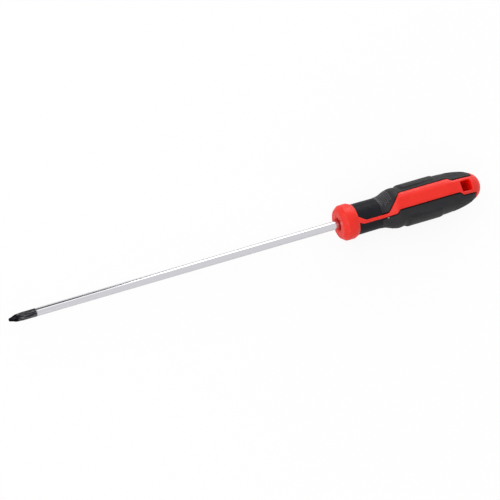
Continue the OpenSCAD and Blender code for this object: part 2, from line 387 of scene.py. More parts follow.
steel, w, shader = new_material("chromed_steel")
chrome_colour = (0.615, 0.610, 0.640, 1)
hazed_chrome = (0.56, 0.555, 0.58, 1)
oxide_colour = (0.022, 0.020, 0.024, 1)
rubbed_oxide = (0.15, 0.146, 0.15, 1)
ground_oxide = (0.005, 0.005, 0.006, 1)
chrome_gloss, oxide_gloss = (0.08, 0.12), (0.28, 0.4)
chrome_grain, oxide_grain = 0.0006, 0.004
finish_wobble, finish_fade = 0.5, 0.5
streak_stretch, streaks_per_mm, streak_range = 0.14, 1.1, (0.48, 0.66)
ground_end, ground_full = 8.5, 5.5
uneven = unevenness(w, Grain_Size=0.12, Patch_Size=7.0, Stretch=6.0)
axes = object_axes(w)
off_middle = w.math("SUBTRACT", uneven.outputs["Patches"], 0.5)
wavy_x = w.math("ADD", axes["X"], w.math("MULTIPLY", off_middle, finish_wobble * mm))
finish_x = (finish_len - blade_len) * mm
oxide = w.between(wavy_x, finish_x - finish_fade * mm, finish_x + finish_fade * mm, 1.0, 0.0)
# streaks that the wheel left along the finish, and the blacker ground faces of the point
along = w.math("MULTIPLY", axes["X"], streak_stretch)
drawn_out = w.node("ShaderNodeCombineXYZ", X=along, Y=axes["Y"], Z=axes["Z"]).outputs["Vector"]
streaks = w.node(
    "ShaderNodeTexNoise", Vector=drawn_out, Scale=streaks_per_mm / mm, Detail=3.0, Roughness=0.6,
).outputs["Fac"]
streaked = w.between(streaks, *streak_range)
ground = w.between(axes["X"], (ground_end - blade_len) * mm, (ground_full - blade_len) * mm)
bright = w.blend(uneven.outputs["Marks"], chrome_colour, hazed_chrome)
finish = w.blend(streaked, oxide_colour, rubbed_oxide)
dark = w.blend(ground, finish, w.blend(streaked, ground_oxide, oxide_colour))
w.feed(shader, "Base Color", w.blend(oxide, bright, dark))
shader.inputs["Metallic"].default_value = 1.0
chrome_rough = w.between(uneven.outputs["Patches"], 0.0, 1.0, *chrome_gloss)
oxide_rough = w.between(uneven.outputs["Grain"], *grain_range, *oxide_gloss)
rougher = w.math("MULTIPLY", oxide, w.math("SUBTRACT", oxide_rough, chrome_rough))
w.feed(shader, "Roughness", w.math("ADD", rougher, chrome_rough))
depth = w.between(oxide, 0.0, 1.0, chrome_grain * mm, oxide_grain * mm)
grained(w, shader, uneven.outputs["Grain"], depth)

finished("blade_steel", blade_mesh, steel, "blade")


# ---- Core ------------------------------------------------------------------------------
# Hard black plastic, moulded straight onto the tang. It is bare and satin at the neck, with
# two grooves that hold the red rails, and runs on under the pads as the handle's strong middle.

front_len, bolster_land, back_len = 3.2, 5.6, 3.2
bolster_r, face_r, rim_h = 12.8, 10.4, 0.2
collar_t = 2.2
neck_front_r, neck_back_r, neck_len = 11.15, 11.0, 17.8
spigot_r, neck_cover = 8.5, 2.4
lip_r, grip_top_r = 11.1, 14.4
lip_flat, slope_len, grip_len, dome_len, dome_power = 1.2, 12.6, 80.0, 44.0, 2.7
skin_t, cap_len, block_len = 2.6, 6.0, 22.3
groove_depth, shrink = 1.6, 0.03
rail_top, rail_bottom, root_top, root_bottom = -3.6, -5.75, 0.0, -4.4
root_top_len, root_bottom_len = 5.2, 3.1
panel_top, panel_bottom, strip_half = 8.2, -3.5, 5.9
climb_start, climb_len, step_start, step_len = 5.0, 11.1, 10.8, 2.0
top_corner, bottom_corner, bend_len = 23.2, 17.0, 2.8
corner_blend, blend_steps, blend_tail = 0.9, 13, 1.05
spigot_chamfer, overrun = 0.4, 1.0
groove_columns, neck_columns, core_rows = 14, 110, 60

core_x = dish_depth + collar_t
rail_x = front_len + bolster_land
bolster_len = rail_x + back_len
neck_x = bolster_len - neck_cover
lip_x = bolster_len + neck_len
slope_x = lip_x + lip_flat
slope_end = slope_x + slope_len
butt_x = lip_x + grip_len
dome_x = butt_x - dome_len
cap_x = butt_x - cap_len
block_x = butt_x - block_len
groove_r = neck_back_r - groove_depth

top_edge = (
    [rail_x, bolster_len, bolster_len + root_top_len, lip_x + climb_start,
     lip_x + climb_start + climb_len, butt_x - top_corner - bend_len, butt_x - top_corner, butt_x],
    [root_top, root_top, rail_top, rail_top, panel_top, panel_top, strip_half, strip_half],
)
bottom_edge = (
    [rail_x, bolster_len, bolster_len + root_bottom_len, lip_x + step_start,
     lip_x + step_start + step_len, butt_x - bottom_corner - bend_len, butt_x - bottom_corner,
     butt_x],
    [root_bottom, root_bottom, rail_bottom, rail_bottom, panel_bottom, panel_bottom,
     -strip_half, -strip_half],
)


def eased(edge, x):
    """Height of an outline's edge at a place, with its corners slightly rounded."""
    window = np.linspace(-corner_blend, corner_blend, blend_steps)
    weights = 1 - (window / corner_blend / blend_tail) ** 2
    heights = [np.interp(x + shift, *edge) * weight for shift, weight in zip(window, weights)]
    return float(np.sum(heights) / weights.sum())


def neck_r(x):
    """Radius of the bare neck, which tapers a little towards the pads."""
    return neck_front_r + (neck_back_r - neck_front_r) * (x - bolster_len) / neck_len


def grip_r(x):
    """Radius of the pads: a level front, a slope, a straight stretch and a squarish dome."""
    if x < slope_end:
        return lip_r + (grip_top_r - lip_r) * (1 - cos(pi * max(x - slope_x, 0) / slope_len)) / 2
    if x < dome_x:
        return grip_top_r
    return grip_top_r * max(0.0, 1 - ((x - dome_x) / dome_len) ** dome_power) ** (1 / dome_power)


def half_turned(points):
    """The same points on the handle's other side."""
    return points * [1, -1, -1]


def neck_ring(x, r, floor_r):
    """Half of a ring of the core: the groove of the near rail and the bare neck beside it."""
    low, high = eased(bottom_edge, x) - shrink, eased(top_edge, x) + shrink
    groove = np.linspace(asin(low / floor_r), asin(high / floor_r), groove_columns)
    neck = np.linspace(asin(high / r), pi + asin(low / r), neck_columns)
    half = np.concatenate([around(x, floor_r, groove), around(x, r, neck)])
    return np.concatenate([half, half_turned(half)])


def plain_ring(x, r, like):
    """A ring without grooves, with its points at the angles of another ring."""
    turns = np.arctan2(like[:, 1], like[:, 2])
    return around(x, r, turns)


first = neck_ring(neck_x, neck_r(neck_x), groove_r - shrink)
core_rings = [
    plain_ring(x, r, first) for x, r in (
        (core_x, spigot_r - spigot_chamfer), (core_x + spigot_chamfer, spigot_r),
        (neck_x, spigot_r),
    )
]
core_rings.append(first)
for x in np.linspace(neck_x + 0.4, lip_x, core_rows):
    core_rings.append(neck_ring(x, neck_r(x), groove_r - shrink))
last = core_rings[-1]
for x in np.linspace(lip_x, block_x, core_rows):
    core_rings.append(plain_ring(x, grip_r(x) - skin_t, last))
core_mesh = rings_mesh("core_plastic", core_rings)
hole_r = tang_r + shrink
tang_hole = turned("tang_hole", [(core_x - overrun, hole_r), (tang_len + shrink, hole_r)], 96)
core_mesh = carved(core_mesh, carved(tang_hole, wings(shrink), "UNION"), "DIFFERENCE")

black, w, shader = new_material("black_core")
core_colour = (0.0105, 0.0108, 0.0135, 1)
worn_core = (0.0130, 0.0134, 0.0165, 1)
core_gloss, core_grain = (0.38, 0.46), 0.004
uneven = unevenness(w, Grain_Size=0.35, Patch_Size=8.0)
w.feed(shader, "Base Color", w.blend(uneven.outputs["Patches"], core_colour, worn_core))
w.feed(shader, "Roughness", w.between(uneven.outputs["Patches"], 0.0, 1.0, *core_gloss))
shader.inputs["Specular IOR Level"].default_value = 0.07
grained(w, shader, uneven.outputs["Grain"], core_grain * mm)

finished("core_plastic", core_mesh, black, "core")


# ---- Red shell -------------------------------------------------------------------------
# One moulding of hard red plastic: the bolster round the blade, two rails along the neck,
# the two flatter side panels and the solid butt with its hanging hole. The panels stand
# proud of the pads with rounded edges, and are bare.

dish_r, dish_floor_r = 5.0, 4.2
rail_proud, panel_proud = 0.35, 0.65
face_lift, face_softness = 0.1, 0.12
hole_len, hole_w, hole_corner, hole_from_end = 8.4, 7.8, 1.2, 9.3
hole_x = butt_x - hole_from_end - hole_len
rim_round, rim_drop = 0.7, 0.56
top_round, top_drop = 1.7, 0.62
bottom_round, bottom_drop = 2.1, 0.85
most_round = 0.4  # of a band's width, the most that one rounded edge takes up
full_width, end_fade = 4.0, 3.0
edge_fullness, rim_fullness = 0.96, 0.98
rail_step, slope_probe = 1.0, 0.2
cap_round = 0.3
cap_steps = (0.0, 0.05, 0.15, cap_round)
bolster_rounds = [0.4, 0.45, 1.4, 2.0, 1.6, 0.25]
edge_steps = np.array([0, 0.03, 0.08, 0.15, 0.25, 0.37, 0.5, 0.65, 0.8, 1.0])
band_columns, floor_columns = 40, 40
hole_margin, hole_reach, corner_steps = 1.2, 20.0, 8


def proud(x):
    """Height of the red shell over the pads, which fades out towards the cap."""
    if x < slope_end:
        return rail_proud + (panel_proud - rail_proud) * max(x - lip_x, 0) / (slope_end - lip_x)
    if x < hole_x:
        return panel_proud
    if x < cap_x:
        return panel_proud * (1 + cos(pi * (x - hole_x) / (cap_x - hole_x))) / 2
    return 0.0


def shell_r(x):
    """Outer radius of rails, panels and cap."""
    climb = np.clip((x - lip_x + rail_step) / rail_step, 0, 1)
    rail = neck_r(x) + rail_proud
    grip = grip_r(max(x, lip_x)) + proud(x)
    return rail + (grip - rail) * climb


def hole_distance(x, y):
    """Distance outside the hanging hole's outline, negative inside it."""
    dx = np.abs(x - hole_x - hole_len / 2) - hole_len / 2 + hole_corner
    dy = np.abs(y) - hole_w / 2 + hole_corner
    outside = np.hypot(np.clip(dx, 0, None), np.clip(dy, 0, None))
    return outside + np.minimum(np.maximum(dx, dy), 0) - hole_corner


def slope_factor(edge, x):
    """Length across a slanted edge's band for each millimetre square to it."""
    rise = (eased(edge, x + slope_probe) - eased(edge, x - slope_probe)) / (2 * slope_probe)
    return hypot(1, rise)


def arc_drop(share, fullness=1.0):
    """How deep a rounded edge has sunk for each millimetre of radius, at a share of its width."""
    return 1 - np.sqrt(1 - share**2 * fullness)


def band_outer(x):
    """Points over the near rail or panel, from its lower to its upper edge."""
    low, high = eased(bottom_edge, x), eased(top_edge, x)
    width = high - low
    low_round = min(bottom_round * slope_factor(bottom_edge, x), width * most_round)
    high_round = min(top_round * slope_factor(top_edge, x), width * most_round)
    y = np.concatenate([
        low + edge_steps * low_round,
        np.linspace(low + low_round, high - high_round, band_columns + 2)[1:-1],
        high - edge_steps[::-1] * high_round,
    ])
    r = shell_r(x)
    z = np.sqrt(r * r - y * y)
    if lip_x < x < cap_x:
        z = softer_min(z, grip_r(x) + face_lift, face_softness)
    fade = min(1.0, width / full_width) * np.clip((cap_x - x) / end_fade, 0, 1)
    sides = ((y - low, low_round, bottom_drop), (high - y, high_round, top_drop))
    for inward, reach, drop in sides:
        share = np.clip(1 - inward / reach, 0, 1)
        z = z - fade * drop * arc_drop(share, edge_fullness)
    rim = np.clip(1 - hole_distance(x, y) / rim_round, 0, 1)
    z = z - rim_drop * arc_drop(rim, rim_fullness)
    return np.stack([np.full(len(y), x), y, z], axis=1)


def band_ring(x, inner_r):
    """A closed ring round the near rail or panel, which is hollow over the core."""
    outer = band_outer(x)
    low, high = outer[0, 1], outer[-1, 1]
    inner = around(x, inner_r, np.linspace(asin(high / inner_r), asin(low / inner_r), 12))
    return np.concatenate([outer, inner])


def butt_ring(x, floor_r):
    """A ring round the solid butt: both strips, and the floors that carry the pads' tails."""
    outer = band_outer(x)
    low, high = outer[0, 1], outer[-1, 1]
    floor_turns = np.linspace(asin(high / floor_r), pi + asin(low / floor_r), floor_columns)
    floor = around(x, floor_r, floor_turns)
    half = np.concatenate([outer, floor])
    return np.concatenate([half, half_turned(half)])


def places(start, end, step):
    """Evenly spaced places from start to end, about one step apart."""
    return np.linspace(start, end, max(2, int(round((end - start) / step)) + 1))


hole_start, hole_end = hole_x - hole_margin, hole_x + hole_len + hole_margin
rail_end = lip_x - rail_step
front_places = np.concatenate([places(rail_x, rail_end, 0.5)[:-1], places(rail_end, lip_x, 0.25)])
grip_places = places(lip_x, block_x, 0.4)
butt_places = np.concatenate([
    places(block_x, hole_start, 0.4)[:-1],
    places(hole_start, hole_end, 0.2),
    places(hole_end, cap_x, 0.35)[1:],
])
band_rings = [band_ring(x, groove_r) for x in front_places]
band_rings += [band_ring(x, grip_r(x) - skin_t + shrink) for x in grip_places]
near_band = rings_mesh("near_band", band_rings, (True, False))

butt_rings = [
    butt_ring(x, grip_r(x) - skin_t + (shrink if x == block_x else 0)) for x in butt_places
]
edge_ring = butt_rings[-1]
edge_turns = np.arctan2(edge_ring[:, 1], edge_ring[:, 2])
on_floor = np.hypot(edge_ring[:, 1], edge_ring[:, 2]) < grip_r(cap_x) - 1
for step in cap_steps:
    x = cap_x + step
    drop = cap_round * arc_drop(1 - step / cap_round)
    radii = np.where(on_floor, grip_r(x) - drop, grip_r(x))
    butt_rings.append(around(x, radii, edge_turns))
cap_share = np.arccos((1 - ((cap_x + cap_round - dome_x) / dome_len) ** dome_power) ** 0.5)
for spread in np.linspace(cap_share, pi / 2, 30)[1:]:
    x = dome_x + dome_len * sin(spread) ** (2 / dome_power)
    r = grip_top_r * max(cos(spread), 0) ** (2 / dome_power)
    butt_rings.append(around(x, r, edge_turns))
butt = rings_mesh("butt", butt_rings, (False, True))


def joined(name, *meshes):
    """Several open meshes as one, welded where their rims meet."""
    shape = bmesh.new()
    for mesh in meshes:
        shape.from_mesh(mesh)
    bmesh.ops.remove_doubles(shape, verts=shape.verts, dist=weld)
    rims = [e for e in shape.edges if len(e.link_faces) < 2]
    bmesh.ops.edgenet_fill(shape, edges=rims)
    bmesh.ops.recalc_face_normals(shape, faces=shape.faces)
    mesh = bpy.data.meshes.new(name)
    shape.to_mesh(mesh)
    shape.free()
    return mesh


far_band = near_band.copy()
far_band.transform(Matrix.Rotation(pi, 4, "X"))
shell_mesh = joined("red_shell_plastic", near_band, far_band, butt)

outside = rounded(
    [
        (dish_depth, tang_r + shrink), (dish_depth, dish_floor_r), (0, dish_r), (0, face_r),
        (front_len, bolster_r), (rail_x, bolster_r), (bolster_len, neck_front_r + rim_h),
        (bolster_len, neck_front_r + shrink),
    ],
    bolster_rounds,
)
hollow = [
    (neck_x - shrink, neck_front_r + shrink), (neck_x - shrink, spigot_r + shrink),
    (core_x - shrink, spigot_r + shrink), (core_x - shrink, tang_r + shrink),
]
bolster_mesh = turned("bolster", outside + hollow, 192, round_again=True)
shell_mesh = carved(shell_mesh, bolster_mesh, "UNION")

outline = []
for quarter in range(4):
    cx = (hole_len / 2 - hole_corner) * (1 if quarter in (0, 3) else -1)
    cy = (hole_w / 2 - hole_corner) * (1 if quarter in (0, 1) else -1)
    for i in range(corner_steps + 1):
        swing = (quarter + i / corner_steps) * pi / 2
        x = hole_x + hole_len / 2 + cx + hole_corner * cos(swing)
        outline.append((x, cy + hole_corner * sin(swing)))
shell_mesh = carved(shell_mesh, prisms("hole", [outline], hole_reach), "DIFFERENCE")

red, w, shader = new_material("red_shell")
red_colour = (0.80, 0.027, 0.017, 1)
deep_red = (0.76, 0.022, 0.014, 1)
hole_shade_red = (0.95, 0.012, 0.006, 1)
shell_gloss, shell_grain, wall_gloss = (0.36, 0.42), 0.005, 0.9
shell_shine, wall_shine = 0.25, 0.02
wall_end, wall_full = 0.15, 0.01
uneven = unevenness(w, Grain_Size=0.22, Patch_Size=10.0)
axes = object_axes(w)
# the wall of the hanging hole is rough, and painted shade gives it a deeper red and almost no
# shine, so that it stays dark
off_x = w.math("ABSOLUTE", w.math("SUBTRACT", axes["X"], (hole_x + hole_len / 2) * mm))
off_y = w.math("ABSOLUTE", axes["Y"])
in_x = w.between(off_x, (hole_len / 2 + wall_end) * mm, (hole_len / 2 + wall_full) * mm)
in_y = w.between(off_y, (hole_w / 2 + wall_end) * mm, (hole_w / 2 + wall_full) * mm)
hole_shade = w.math("MULTIPLY", in_x, in_y)
skin = w.blend(uneven.outputs["Patches"], red_colour, deep_red)
w.feed(shader, "Base Color", w.blend(hole_shade, skin, hole_shade_red))
gloss = w.between(uneven.outputs["Patches"], 0.0, 1.0, *shell_gloss)
w.feed(shader, "Roughness", w.math("MAXIMUM", gloss, w.math("MULTIPLY", hole_shade, wall_gloss)))
w.feed(shader, "Specular IOR Level", w.between(hole_shade, 0.0, 1.0, shell_shine, wall_shine))
grained(w, shader, uneven.outputs["Grain"], shell_grain * mm)

finished("red_shell_plastic", shell_mesh, red, "red_shell")


# ---- Soft pads -------------------------------------------------------------------------
# Two matte pads of soft plastic in the windows between the red panels, with shade painted
# into the grooves beside them. Each has a rounded front lip, a raised land with bevelled edges
# at its widest place, and a thin ridge that runs on from the land towards the butt.

land_start, land_len, land_half, land_h = 17.0, 30.5, 10.0, 0.65
land_front_slant, land_rear_slant = 2.0, 1.2
front_bevel, rear_bevel, side_bevel = 3.0, 2.0, 0.9
valley_depth, valley_reach, valley_fade = 0.4, 1.6, 1.5
lip_round, pad_round, groove_reach = 0.5, 1.4, 1.5
bead_h, bead_len = 0.1, 1.0
pad_fullness, end_fullness = 0.98, 0.97
pad_columns, seat_columns = 150, 24
pad_edge_steps = np.array([0, 0.04, 0.12, 0.24, 0.4, 0.6, 0.85, 1.1, 1.4])
ridge_from, ridge_to, ridge_z = 83.0, 97.0, (9.0, 5.5)
ridge_width, ridge_h, ridge_fade = 0.55, 0.18, 1.5

land_x = lip_x + land_start
land_end = land_x + land_len
pad_start, pad_end = lip_x + shrink, cap_x - shrink


def land_height(x, z):
    """Height of the raised land at a place seen square to the pad, with the valley at its foot."""
    front = x - land_x - land_front_slant * np.abs(z) / land_half
    rear = land_x + land_len - land_rear_slant * np.abs(z) / land_half - x
    side = land_half - np.abs(z)
    rise = np.minimum(np.minimum(front / front_bevel, rear / rear_bevel), side / side_bevel)
    rise = np.clip(rise, 0, 1)
    outside = np.clip(-np.minimum(np.minimum(front, rear), side), 0, None)
    valley = valley_depth * np.clip(valley_fade - (x - land_x) / (land_len / 2), 0, 1)
    foot = -valley * np.exp(-(outside / valley_reach) ** 2)
    return foot + (land_h - foot) * rise * rise * (3 - 2 * rise)


def pad_ring(x, drop):
    """A closed ring round the right-hand pad, from the near panel round to the far one."""
    r, seat = grip_r(x), grip_r(x) - skin_t + shrink
    high, low = eased(top_edge, x) + shrink, -eased(bottom_edge, x) + shrink
    first, last = asin(high / r), pi - asin(low / r)
    steps = pad_edge_steps / r
    turns = np.concatenate([
        first + steps,
        np.linspace(first + steps[-1], last - steps[-1], pad_columns + 2)[1:-1],
        last - steps[::-1],
    ])
    inward = np.minimum(turns - first, last - turns) * r
    share = np.clip(1 - inward / pad_round, 0, 1)
    radii = r - drop - pad_round * arc_drop(share, pad_fullness)
    radii = radii + bead_h * max(0.0, 1 - ((x - pad_start) / bead_len) ** 4)
    radii = radii + land_height(x, radii * np.cos(turns))
    for side in (1, -1):
        middle = np.interp(x, (ridge_from, ridge_to), ridge_z)
        near = np.clip(1 - np.abs(radii * np.cos(turns) * side - middle) / ridge_width, 0, 1)
        inside = np.clip(min(x - ridge_from, ridge_to - x) / ridge_fade, 0, 1)
        radii = radii + ridge_h * inside * near * near * (3 - 2 * near)
    inner = np.linspace(pi - asin(low / seat), asin(high / seat), seat_columns)
    return np.concatenate([around(x, radii, turns), around(x, seat, inner)])


# the rows lie closer where the lip, the land's bevels and the tail bend
pad_places = np.concatenate([
    pad_start + lip_round * np.array([0, 0.03, 0.1, 0.2, 0.35, 0.55, 0.75]),
    places(pad_start + lip_round, pad_start + 1.5, 0.1)[:-1],
    places(pad_start + 1.5, land_x - 0.3, 0.35)[:-1],
    places(land_x - 0.3, land_x + 6, 0.2)[:-1],
    places(land_x + 6, land_end - 3.6, 0.5)[:-1],
    places(land_end - 3.6, land_end + 0.3, 0.16)[:-1],
    places(land_end + 0.3, pad_end - pad_round, 0.35),
    pad_end - pad_round * np.array([0.7, 0.4, 0.2, 0.08, 0]),
])


def end_drop(x):
    """How far the pad's front lip and its tail are rounded down at a place."""
    front = np.clip(1 - (x - pad_start) / lip_round, 0, 1)
    back = np.clip(1 - (pad_end - x) / pad_round, 0, 1)
    return lip_round * arc_drop(front, end_fullness) + pad_round * arc_drop(back, end_fullness)


right_mesh = rings_mesh("right_grip_pad", [pad_ring(x, end_drop(x)) for x in pad_places])

# how near each point lies to the grooves beside the panels, where the shade is painted in
beside_panel = right_mesh.attributes.new("beside_panel", "FLOAT", "POINT")
edge_heights = {}
for point, mark in zip(right_mesh.vertices, beside_panel.data):
    x, y, z = (c / mm for c in point.co)
    if round(x, 3) not in edge_heights:
        edge_heights[round(x, 3)] = (eased(top_edge, x), eased(bottom_edge, x))
    high, low = edge_heights[round(x, 3)]
    r = grip_r(x)
    turn = atan2(y, z) % (2 * pi)
    turn = turn - 2 * pi if turn > 3 * pi / 2 else turn
    inward = min(turn - asin(high / r), pi + asin(low / r) - turn) * r
    mark.value = max(0.0, 1 - max(inward, 0.0) / groove_reach)
left_mesh = right_mesh.copy()
left_mesh.transform(Matrix.Rotation(pi, 4, "X"))

rubber, w, shader = new_material("soft_grip")
pad_colour = (0.0065, 0.0062, 0.0078, 1)
rubbed_pad = (0.0110, 0.0104, 0.0126, 1)
lip_highlight_colour = (0.11, 0.105, 0.113, 1)
groove_shade_colour = (0.003, 0.003, 0.0035, 1)
pad_gloss, pad_grain, pad_marks = (0.46, 0.6), 0.02, 0.3
pad_shine, groove_shine = 0.27, 0.05
lip_fade, lip_grain, lip_strength = 0.3, (0.2, 0.6), (0.6, 1.0)
lip_side, lip_outer = 0.08, (0.35, 0.8)
groove_range = (0.1, 0.6)
uneven = unevenness(w, Grain_Size=0.16, Patch_Size=6.0)
shade = w.blend(uneven.outputs["Patches"], pad_colour, rubbed_pad)
shade = w.blend(w.math("MULTIPLY", uneven.outputs["Marks"], pad_marks), shade, rubbed_pad)


def highlight_quarters(wiring, axes, share, low=0.0):
    """1 where Y and Z share a sign and low elsewhere, which on the right pad is the lit quarter."""
    product = wiring.math("MULTIPLY", axes["Y"], axes["Z"])
    return wiring.between(product, 0.0, share * (lip_r * mm) ** 2, low, 1.0)


# painted highlight: the lip is paler on the quarter facing the lamps, far from the near rail
axes = object_axes(w)
lip = w.between(axes["X"], (lip_x + bead_len) * mm, (lip_x + bead_len - lip_fade) * mm)
lip = w.math("MULTIPLY", lip, w.between(uneven.outputs["Grain"], *lip_grain, *lip_strength))
lip = w.math("MULTIPLY", lip, highlight_quarters(w, axes, lip_side))
far_out = w.between(w.math("ABSOLUTE", axes["Y"]), *(share * lip_r * mm for share in lip_outer))
lip = w.math("MULTIPLY", lip, far_out)
# painted shade: the pad turns near black and almost without shine in the grooves beside the panels
beside = w.node("ShaderNodeAttribute", {"attribute_name": "beside_panel"}).outputs["Fac"]
beside = w.between(beside, *groove_range)
w.feed(shader, "Base Color", w.blend(beside, w.blend(lip, shade, lip_highlight_colour), groove_shade_colour))
w.feed(shader, "Specular IOR Level", w.between(beside, 0.0, 1.0, pad_shine, groove_shine))
w.feed(shader, "Roughness", w.between(uneven.outputs["Grain"], *grain_range, *pad_gloss))
grained(w, shader, uneven.outputs["Grain"], pad_grain * mm)

finished("right_grip_pad", right_mesh, rubber, "right_grip")
finished("left_grip_pad", left_mesh, rubber, "left_grip")


# ---- Grip pips -------------------------------------------------------------------------
# Rows of small rounded pips stand on each pad's front slope and on its tail, where thumb
# and palm press. They are moulded in one with the pads. Their tops are paler, partly worn and
# partly a painted highlight on the quarter that faces the lamps, most of all on the front rows.

pip_width, pip_height, pip_pitch = 0.85, 0.22, 1.45
front_rows, tail_rows = (lip_x + 1.6, lip_x + 9.6), (86.5, 101.5)
row_share = 0.87  # of the pitch, from one row to the next
pip_margin, lean_probe = 1.3, 0.1

rubbed_tops, w, shader = new_material("rubbed_tops")
highlit_top_colour = (0.120, 0.114, 0.124, 1)
duller_top = (0.082, 0.078, 0.085, 1)
top_gloss, top_grain = (0.4, 0.55), 0.01
highlight_ramp, least_highlight, highlight_fade, tail_highlight = 0.2, 0.08, 3.0, 0.12
uneven = unevenness(w, Grain_Size=0.2, Patch_Size=5.0)
axes = object_axes(w)
highlight_end, highlight_full = (front_rows[1] + highlight_fade) * mm, front_rows[1] * mm
# painted highlight: paler tops on the quarter that faces the lamps, fading towards the tail rows
worn_and_lit = w.math(
    "MULTIPLY", highlight_quarters(w, axes, highlight_ramp, least_highlight),
    w.between(axes["X"], highlight_end, highlight_full, tail_highlight, 1.0),
)
tops = w.blend(uneven.outputs["Patches"], highlit_top_colour, duller_top)
w.feed(shader, "Base Color", w.blend(worn_and_lit, pad_colour, tops))
w.feed(shader, "Roughness", w.between(uneven.outputs["Grain"], *grain_range, *top_gloss))
shader.inputs["Specular IOR Level"].default_value = 0.3
grained(w, shader, uneven.outputs["Grain"], top_grain * mm)


def pip_seats():
    """The places of the right-hand pad's pips, with the pad's own slope for their direction."""
    seats, directions = [], []
    for start, end in (front_rows, tail_rows):
        for row, x in enumerate(np.arange(start, end, pip_pitch * row_share)):
            r = grip_r(x)
            first = asin(eased(top_edge, x) / r) + pip_margin / r
            last = pi - asin(-eased(bottom_edge, x) / r) - pip_margin / r
            count = int((last - first) * r / pip_pitch)
            lean = (grip_r(x + lean_probe) - grip_r(x - lean_probe)) / (2 * lean_probe)
            stagger = 0.5 * (row % 2) + (0.5 if count % 2 == 0 else 0)
            for i in range(count):
                turn = pi / 2 + (i - count / 2 + stagger) * pip_pitch / r
                if not first < turn < last:
                    continue
                seats.append((x, r * sin(turn), r * cos(turn)))
                directions.append(Vector((-lean, sin(turn), cos(turn))).normalized())
    return seats, directions


def pip_tree():
    """Puts one low dome on every seat, square to the pad, and joins them to one mesh."""
    tree = bpy.data.node_groups.new("grip_pips", "GeometryNodeTree")
    for key, kind, value in (
        ("Seats", "NodeSocketGeometry", None), ("Pip Width", "NodeSocketFloat", pip_width * mm),
        ("Pip Height", "NodeSocketFloat", pip_height * mm), ("Finish", "NodeSocketMaterial", None),
    ):
        socket = tree.interface.new_socket(key, in_out="INPUT", socket_type=kind)
        if value is not None:
            socket.default_value = value
    tree.interface.new_socket("Pips", in_out="OUTPUT", socket_type="NodeSocketGeometry")
    w = Wiring(tree)
    start = w.node("NodeGroupInput")
    dome = w.node("GeometryNodeMeshUVSphere", Segments=10, Rings=6, Radius=0.5)
    width, height = start.outputs["Pip Width"], w.math("MULTIPLY", start.outputs["Pip Height"], 2.0)
    size = w.node("ShaderNodeCombineXYZ", X=width, Y=width, Z=height)
    direction = w.node(
        "GeometryNodeInputNamedAttribute", {"data_type": "FLOAT_VECTOR"}, Name="direction",
    ).outputs["Attribute"]
    turn = w.node("FunctionNodeAlignRotationToVector", {"axis": "Z"}, Vector=direction)
    placed = w.node(
        "GeometryNodeInstanceOnPoints", Points=start.outputs["Seats"],
        Instance=dome.outputs["Mesh"], Rotation=turn.outputs["Rotation"],
        Scale=size.outputs["Vector"],
    )
    real = w.node("GeometryNodeRealizeInstances", Geometry=placed.outputs["Instances"])
    smooth = w.node("GeometryNodeSetShadeSmooth", Geometry=real.outputs["Geometry"])
    done = w.node(
        "GeometryNodeSetMaterial", Geometry=smooth.outputs["Geometry"],
        Material=start.outputs["Finish"],
    )
    w.node("NodeGroupOutput", Pips=done.outputs["Geometry"])
    return tree


seats, directions = pip_seats()
tree = pip_tree()
for name, turned_over in (("right_grip_pips", False), ("left_grip_pips", True)):
    spots = bpy.data.meshes.new(name)
    side = -1 if turned_over else 1
    spots.from_pydata([(x * mm, y * side * mm, z * side * mm) for x, y, z in seats], [], [])
    ways = spots.attributes.new("direction", "FLOAT_VECTOR", "POINT")
    for i, way in enumerate(directions):
        ways.data[i].vector = (way.x, way.y * side, way.z * side)
    base = linked(name + "_seats", spots)
    step = base.modifiers.new("pips", "NODES")
    step.node_group = tree
    for item in tree.interface.items_tree:
        if item.item_type == "SOCKET" and item.in_out == "INPUT" and item.name == "Finish":
            step[item.identifier] = rubbed_tops
    pips = evaluated(base)
    bpy.data.objects.remove(base)
    finished(name, pips, rubbed_tops, None, sharp=80)


# ---- Pale highlight spots --------------------------------------------------------------
# One small raised spot on each pad, close beside the thin rail, coloured pale grey as a
# painted highlight.

spot_x, spot_y = 34.0, -6.5
spot_long, spot_wide, spot_high = 1.5, 0.9, 0.14

# painted highlight: the spot's pale grey stands in for a glint on the pad
spot_finish, w, shader = new_material("gate_scar")
highlight_spot_colour = (0.42, 0.40, 0.42, 1)
dimmer_spot_colour = (0.25, 0.24, 0.25, 1)
uneven = unevenness(w, Grain_Size=0.15, Patch_Size=1.0)
w.feed(shader, "Base Color", w.blend(uneven.outputs["Grain"], dimmer_spot_colour, highlight_spot_colour))
shader.inputs["Roughness"].default_value = 0.6
shader.inputs["Specular IOR Level"].default_value = 0.3

spots = bmesh.new()
forwards = Vector((1, 0, 0))
for side in (1, -1):
    out = Vector((0, side * spot_y, side * (grip_r(spot_x) ** 2 - spot_y**2) ** 0.5))
    across = forwards.cross(out.normalized())
    turn = Matrix((forwards, across, out.normalized())).transposed().to_4x4()
    size = Matrix.Diagonal((spot_long * mm, spot_wide * mm, spot_high * 2 * mm, 1))
    seat = Matrix.Translation((spot_x * mm, out.y * mm, out.z * mm))
    where = seat @ turn @ size
    bmesh.ops.create_uvsphere(spots, u_segments=24, v_segments=12, radius=0.5, matrix=where)
highlight_spot_mesh = bpy.data.meshes.new("gate_marks")
spots.to_mesh(highlight_spot_mesh)
spots.free()

finished("gate_marks", cleaned(highlight_spot_mesh), spot_finish, None, sharp=80)


# ---- Studio ----------------------------------------------------------------------------
# A white sheet to lie on, large soft lamps and a white surround, as for a catalogue picture.
# The camera stands far above, a little to the point's side, with a long lens.

lowest = cad_box[0][2]
floor_half = 3.0
floor_white = 0.88
seen_glow, mirrored_glow = 0.9, 0.12
surround_light = 0.5


